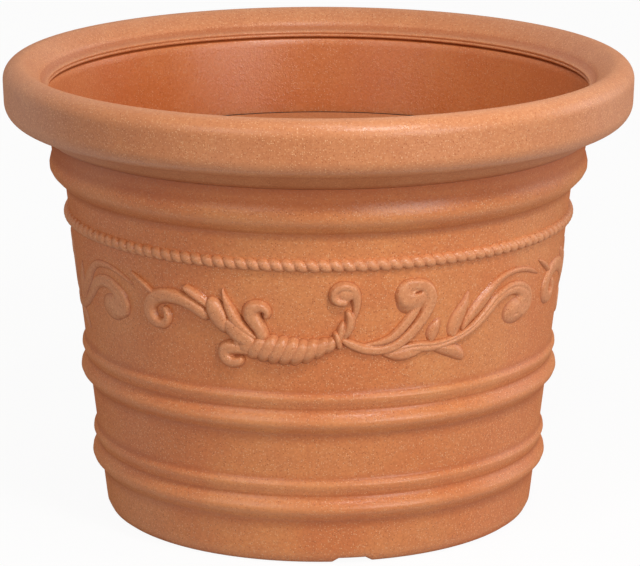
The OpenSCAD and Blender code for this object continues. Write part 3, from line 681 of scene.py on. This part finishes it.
# A node whose inputs, by name or number, are set to a value or linked to a socket
def addNode(tree, kind, inputs=None, **settings):
    node = tree.nodes.new(kind)
    for name, value in settings.items():
        setattr(node, name, value)
    for name, value in (inputs or {}).items():
        if isinstance(value, bpy.types.NodeSocket):
            tree.links.new(value, node.inputs[name])
        else:
            node.inputs[name].default_value = value
    return node


def mathOf(tree, operation, a, b):
    return addNode(tree, "ShaderNodeMath", {0: a, 1: b}, operation=operation).outputs["Value"]


# A value spread from low..high to outLow..outHigh, and held there
def ranged(tree, value, low, high, outLow=0.0, outHigh=1.0):
    node = addNode(tree, "ShaderNodeMapRange", {
        "Value": value, "From Min": low, "From Max": high, "To Min": outLow, "To Max": outHigh})
    return node.outputs["Result"]


# Two colours mixed: inputs 0, 6 and 7 of a mix node are its factor and colours, and output 2 is a colour
def mixed(tree, factor, a, b, way="MIX"):
    mix = addNode(tree, "ShaderNodeMix", {0: factor, 6: a, 7: b}, data_type="RGBA", blend_type=way)
    return mix.outputs[2]


def opaque(color):
    return (*color, 1)


# A node group with its inputs and outputs: each socket is (way, kind, label)
def newGroup(name, sockets):
    group = bpy.data.node_groups.new(name, "ShaderNodeTree")
    for way, kind, label in sockets:
        group.interface.new_socket(name=label, in_out=way, socket_type="NodeSocket" + kind)
    return group, group.nodes.new("NodeGroupInput"), group.nodes.new("NodeGroupOutput")


# Finish: what the clays share. Colours are linear, shares run from 0 to 1, and depths are in metres.
finish = {
    # The hollow colour is painted shade, put into hollows by the crest mask
    "pale": (0.680, 0.300, 0.130), "dark": (0.330, 0.080, 0.020), "shadeTone": (0.340, 0.072, 0.013),
    # The joint colour is near-black painted shade for a plate's open joint
    "fleck": (0.72, 0.38, 0.19), "jointShadeTone": (0.02, 0.006, 0.003),
    # clouds: scale, detail, roughness, and the two values that are spread to 0 and 1
    "drift": [9.0, 3.0, 0.5, 0.40, 0.60], "patch": [45.0, 3.0, 0.5, 0.35, 0.65],
    "grain": [400.0, 3.0, 0.7, 0.32, 0.68],
    "patchShare": 0.22, "patchTone": (0.80, 0.80, 0.80), "grainShare": 0.42,
    # flecks: scale of their cells, size within a cell, and share of the cells that have one
    "paleFlecks": [700.0, 0.42, 0.36], "darkFlecks": [640.0, 0.36, 0.26],
    "fleckCore": 0.55, "fleckSure": 0.6,  # shares of their size and of their number that don't fade
    # wear and painted shade: where each starts and ends on the crest mask, and its share there
    "rubbedBy": [0.1, 1.0, 0.2], "shadeBy": [-0.1, -1.0, 0.75],
    "roughness": [0.20, 0.29], "ior": 1.40, "bump": 0.28, "bumpDeep": 0.0004, "jointFade": 0.0008,
}


# Clay-coloured resin: a slow drift between two colours, patches, grain and two kinds of fleck. It
# puts out a colour, a roughness that follows the patches, and a height from grain and pale flecks.
def speckleGroup():
    m = finish
    group, taken, given = newGroup("claySpeckle", [
        ("INPUT", "Vector", "Place"), ("INPUT", "Color", "Base"), ("INPUT", "Color", "Warm"),
        ("INPUT", "Color", "Fleck"), ("INPUT", "Color", "Dark Fleck"),
        ("OUTPUT", "Color", "Color"), ("OUTPUT", "Float", "Roughness"), ("OUTPUT", "Float", "Height")])
    place = taken.outputs["Place"]

    def cloud(scale, detail, rough, low, high):
        noise = addNode(group, "ShaderNodeTexNoise", {
            "Vector": place, "Scale": scale, "Detail": detail, "Roughness": rough})
        return ranged(group, noise.outputs["Fac"], low, high)

    # A fleck sits in the middle of some of the cells, and its cell's own colour says which
    def flecks(scale, size, share):
        cells = addNode(group, "ShaderNodeTexVoronoi", {"Vector": place, "Scale": scale})
        near = ranged(group, cells.outputs["Distance"], size, size * m["fleckCore"])
        split = addNode(group, "ShaderNodeSeparateColor", {"Color": cells.outputs["Color"]})
        chosen = ranged(group, split.outputs["Red"], 1 - share, 1 - share * m["fleckSure"])
        return mathOf(group, "MULTIPLY", near, chosen)

    drift, patch, grain = cloud(*m["drift"]), cloud(*m["patch"]), cloud(*m["grain"])
    pale, dark = flecks(*m["paleFlecks"]), flecks(*m["darkFlecks"])
    patches = mathOf(group, "MULTIPLY", patch, m["patchShare"])
    grains = mathOf(group, "MULTIPLY", grain, m["grainShare"])
    color = mixed(group, drift, taken.outputs["Base"], taken.outputs["Warm"])
    color = mixed(group, patches, color, opaque(m["patchTone"]), "SOFT_LIGHT")
    color = mixed(group, grains, color, taken.outputs["Dark Fleck"])
    color = mixed(group, pale, color, taken.outputs["Fleck"])
    color = mixed(group, dark, color, taken.outputs["Dark Fleck"])
    group.links.new(color, given.inputs["Color"])
    group.links.new(ranged(group, patch, 0.0, 1.0, *m["roughness"]), given.inputs["Roughness"])
    group.links.new(mathOf(group, "ADD", grain, pale), given.inputs["Height"])
    return group


# Wear and painted shade: what stands out is rubbed paler, and hollows get painted shade
def wearAndShadeGroup():
    group, taken, given = newGroup("crestWearAndShade", [
        ("INPUT", "Color", "Color"), ("INPUT", "Float", "Crest"), ("INPUT", "Color", "Rubbed"),
        ("INPUT", "Color", "Painted Shade"), ("OUTPUT", "Color", "Color")])
    color = taken.outputs["Color"]
    for label, (start, full, share) in (("Rubbed", finish["rubbedBy"]), ("Painted Shade", finish["shadeBy"])):
        mask = ranged(group, taken.outputs["Crest"], start, full, 0.0, share)
        color = mixed(group, mask, color, taken.outputs[label])
    group.links.new(color, given.inputs["Color"])
    return group


claySpeckle, crestWearAndShade = speckleGroup(), wearAndShadeGroup()


# Painted shade in the open joint round a plate: near black on everything further out than radius, in metres
def paintJointShade(tree, place, color, radius):
    flat = addNode(tree, "ShaderNodeVectorMath", {0: place, 1: (1, 1, 0)}, operation="MULTIPLY")
    away = addNode(tree, "ShaderNodeVectorMath", {0: flat.outputs["Vector"]}, operation="LENGTH")
    mask = ranged(tree, away.outputs["Value"], radius, radius + finish["jointFade"])
    return mixed(tree, mask, color, opaque(finish["jointShadeTone"]))


def clay(name, base, warm, glancing=1.0, jointR=None):
    m = finish
    material = bpy.data.materials.new(name)
    material.use_nodes = True
    tree = material.node_tree
    shader = tree.nodes["Principled BSDF"]
    place = tree.nodes.new("ShaderNodeTexCoord").outputs["Object"]
    spots = addNode(tree, "ShaderNodeGroup", {
        "Place": place, "Base": opaque(base), "Warm": opaque(warm), "Fleck": opaque(m["fleck"]),
        "Dark Fleck": opaque(m["dark"])}, node_tree=claySpeckle)
    # The crest mask rubs what stands out paler and paints shade into its hollows
    crest = addNode(tree, "ShaderNodeAttribute", attribute_name="crest")
    wornAndShaded = addNode(tree, "ShaderNodeGroup", {
        "Color": spots.outputs["Color"], "Crest": crest.outputs["Fac"], "Rubbed": opaque(m["pale"]),
        "Painted Shade": opaque(m["shadeTone"])}, node_tree=crestWearAndShade)
    color = wornAndShaded.outputs["Color"]
    if jointR:
        color = paintJointShade(tree, place, color, jointR)
    tree.links.new(color, shader.inputs["Base Color"])
    # Fine grain shines less at a glancing look
    glance = addNode(tree, "ShaderNodeLayerWeight", {"Blend": 0.5})
    dull = mathOf(tree, "MULTIPLY", glance.outputs["Facing"], glancing)
    tree.links.new(mathOf(tree, "MAXIMUM", spots.outputs["Roughness"], dull), shader.inputs["Roughness"])
    shader.inputs["IOR"].default_value = m["ior"]
    relief = addNode(tree, "ShaderNodeBump", {
        "Height": spots.outputs["Height"], "Strength": m["bump"], "Distance": m["bumpDeep"]})
    tree.links.new(relief.outputs["Normal"], shader.inputs["Normal"])
    return material


# The clays: two colours that drift into each other, how dull it is at a glancing look, and the
# radius past which a plate's open joint gets painted shade, in metres
clayLooks = {
    "wall": {"base": (0.655, 0.236, 0.079), "warm": (0.618, 0.190, 0.058)},
    "rim": {"base": (0.585, 0.234, 0.101), "warm": (0.560, 0.212, 0.084), "glancing": 0.75},
    "rope": {"base": (0.650, 0.262, 0.114), "warm": (0.630, 0.246, 0.104)},
    "scroll": {"base": (0.650, 0.262, 0.114), "warm": (0.630, 0.246, 0.104)},
    "leaf": {"base": (0.640, 0.248, 0.104), "warm": (0.625, 0.232, 0.094)},
    # The shelf's clay is paler than the wall's: painted light for the light that falls on the plate's upward
    # face
    "shelf": {"base": (0.620, 0.250, 0.104), "warm": (0.590, 0.225, 0.088), "jointR": 0.2255},
}


# Studio: a pale floor, white all round for the camera, three wide windows and two soft lamps. It is
# written in metres, with turns to the right of the front and rises in degrees.
studio = {
    "world": 0.33, "worldTint": (1.0, 0.88, 0.76),
    # windows, which are suns with a wide disc: turn, rise, how many degrees it fills, and strength
    "windows": [["front window", 38, 11, 35, 1.38], ["high window", -34, 26, 35, 0.62],
                ["side window", 112, 10, 40, 0.7]],
    # lamps, which are square areas: turn, rise, how far away, size, and power in watts
    "lamps": [["key light", 23, 43, 1.3, 0.22, 6.6], ["top light", 8, 64, 1.3, 0.15, 1.6]],
    "aimZ": 0.3, "windowAway": 3,  # height that the lights point at, and where the suns are drawn
    "floorR": 14.0, "floorPin": 0.000001, "floorColumns": 48,  # outer and inner radius of the floor
    "floorDown": 0.00005,  # gap under the foot
    "paper": 0.95, "bounce": 0.45,  # the floor's colour for the camera, and for the light it sends on
    "paperRough": 0.9,
    "white": 0.94,  # share of plain white in what the camera sees of the floor
}


# Direction from the pot toward a light
def toward(turn, up):
    a, e = np.radians(turn), np.radians(up)
    return Vector((np.sin(a) * np.cos(e), -np.cos(a) * np.cos(e), np.sin(e)))


def addLamp(name, kind, way, away, **settings):
    lamp = bpy.data.lights.new(name, kind)
    for label, value in settings.items():
        setattr(lamp, label, value)
    holder = bpy.data.objects.new(name, lamp)
    holder.location = way * away + Vector((0, 0, studio["aimZ"]))
    holder.rotation_euler = way.to_track_quat("Z", "Y").to_euler()
    bpy.context.scene.collection.objects.link(holder)


# 1 where the camera sees a surface, straight or in a reflection
def seenDirectly(tree):
    path = tree.nodes.new("ShaderNodeLightPath").outputs
    seen = mathOf(tree, "MAXIMUM", path["Is Camera Ray"], path["Is Glossy Ray"])
    return mathOf(tree, "MAXIMUM", seen, path["Is Transmission Ray"])


# White paper: most of what the camera sees of it is plain white, and the rest keeps the shadow.
# It sends less light back up than it seems to, as a sweep further off would.
def paperMaterial():
    m = studio
    paper = bpy.data.materials.new("pale paper")
    paper.use_nodes = True
    tree = paper.node_tree
    shader = tree.nodes["Principled BSDF"]
    shader.inputs["Roughness"].default_value = m["paperRough"]
    shader.inputs["Specular IOR Level"].default_value = 0.0
    seen = seenDirectly(tree)
    tone = mixed(tree, seen, opaque([m["bounce"]] * 3), opaque([m["paper"]] * 3))
    tree.links.new(tone, shader.inputs["Base Color"])
    glow = addNode(tree, "ShaderNodeEmission", {"Color": (1, 1, 1, 1), "Strength": 1.0})
    both = addNode(tree, "ShaderNodeMixShader", {
        0: mathOf(tree, "MULTIPLY", seen, m["white"]), 1: shader.outputs["BSDF"],
        2: glow.outputs["Emission"]})
    tree.links.new(both.outputs["Shader"], tree.nodes["Material Output"].inputs["Surface"])
    return paper


def buildStudio():
    m = studio
    scene = bpy.context.scene
    scene.view_settings.view_transform = "Standard"
    world = bpy.data.worlds.new("studio")
    scene.world = world
    world.use_nodes = True
    tree = world.node_tree
    tree.nodes.clear()
    lit = addNode(tree, "ShaderNodeBackground", {"Color": opaque(m["worldTint"]), "Strength": m["world"]})
    white = addNode(tree, "ShaderNodeBackground", {"Color": (1, 1, 1, 1), "Strength": 1.0})
    both = addNode(tree, "ShaderNodeMixShader", {
        0: seenDirectly(tree), 1: lit.outputs["Background"], 2: white.outputs["Background"]})
    addNode(tree, "ShaderNodeOutputWorld", {"Surface": both.outputs["Shader"]})
    for name, turn, up, wide, strength in m["windows"]:
        addLamp(name, "SUN", toward(turn, up), m["windowAway"], energy=strength, angle=np.radians(wide))
    for name, turn, up, away, size, power in m["lamps"]:
        addLamp(name, "AREA", toward(turn, up), away, size=size, energy=power)
    disc = np.array([[m["floorPin"], -m["floorDown"]], [m["floorR"], -m["floorDown"]]]) / mm
    disc = withCrest(turned(disc, m["floorColumns"]))
    floor = makePiece("studio_floor", *joinGrids([(disc, False, True)]), weld=False)
    floor.data.materials.append(paperMaterial())


# Camera in metres and degrees, at the photograph's viewing angle
camera = {
    "place": (0, -3.2284, 1.0167), "pitch": 14.15,
    "lens": 207.65, "sensor": 36, "shiftX": 0.0023, "far": 100,
}


def buildCamera():
    data = bpy.data.cameras.new("camera")
    data.sensor_width = camera["sensor"]
    data.lens = camera["lens"]
    data.shift_x = camera["shiftX"]
    data.clip_end = camera["far"]
    holder = bpy.data.objects.new("camera", data)
    holder.location = camera["place"]
    holder.rotation_euler = (np.radians(90 - camera["pitch"]), 0, 0)
    bpy.context.scene.collection.objects.link(holder)
    bpy.context.scene.camera = holder


buildCamera()
buildStudio()
print("studio and camera stand")

clays = {name + "_clay": clay(name + " clay", **look) for name, look in clayLooks.items()}


def finishPiece(piece, slot, body):
    piece.data.materials.append(clays[slot])
    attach(piece, body)


for build, node, slot in ((buildWall, "pot_wall", "wall_clay"), (buildRim, "rolled_rim", "rim_clay"),
                          (buildRope, "rope_moulding", "rope_clay")):
    piece = build()
    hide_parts(node)
    finishPiece(piece, slot, "pot")
    print(piece.name, "built,", len(piece.data.polygons), "faces")

for kindName, kind in ornaments.items():
    field = ornamentField(kind)
    for groupName, k in (("front", 0), ("right", 1), ("left", -1)):
        piece = buildOrnament(kindName, groupName, k, field)
        finishPiece(piece, "scroll_clay" if kind.get("light") else "leaf_clay", "pot")
print("frieze laid")

piece = buildShelf()
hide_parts("planting_shelf")
finishPiece(piece, "shelf_clay", "shelf")
print("shelf built")
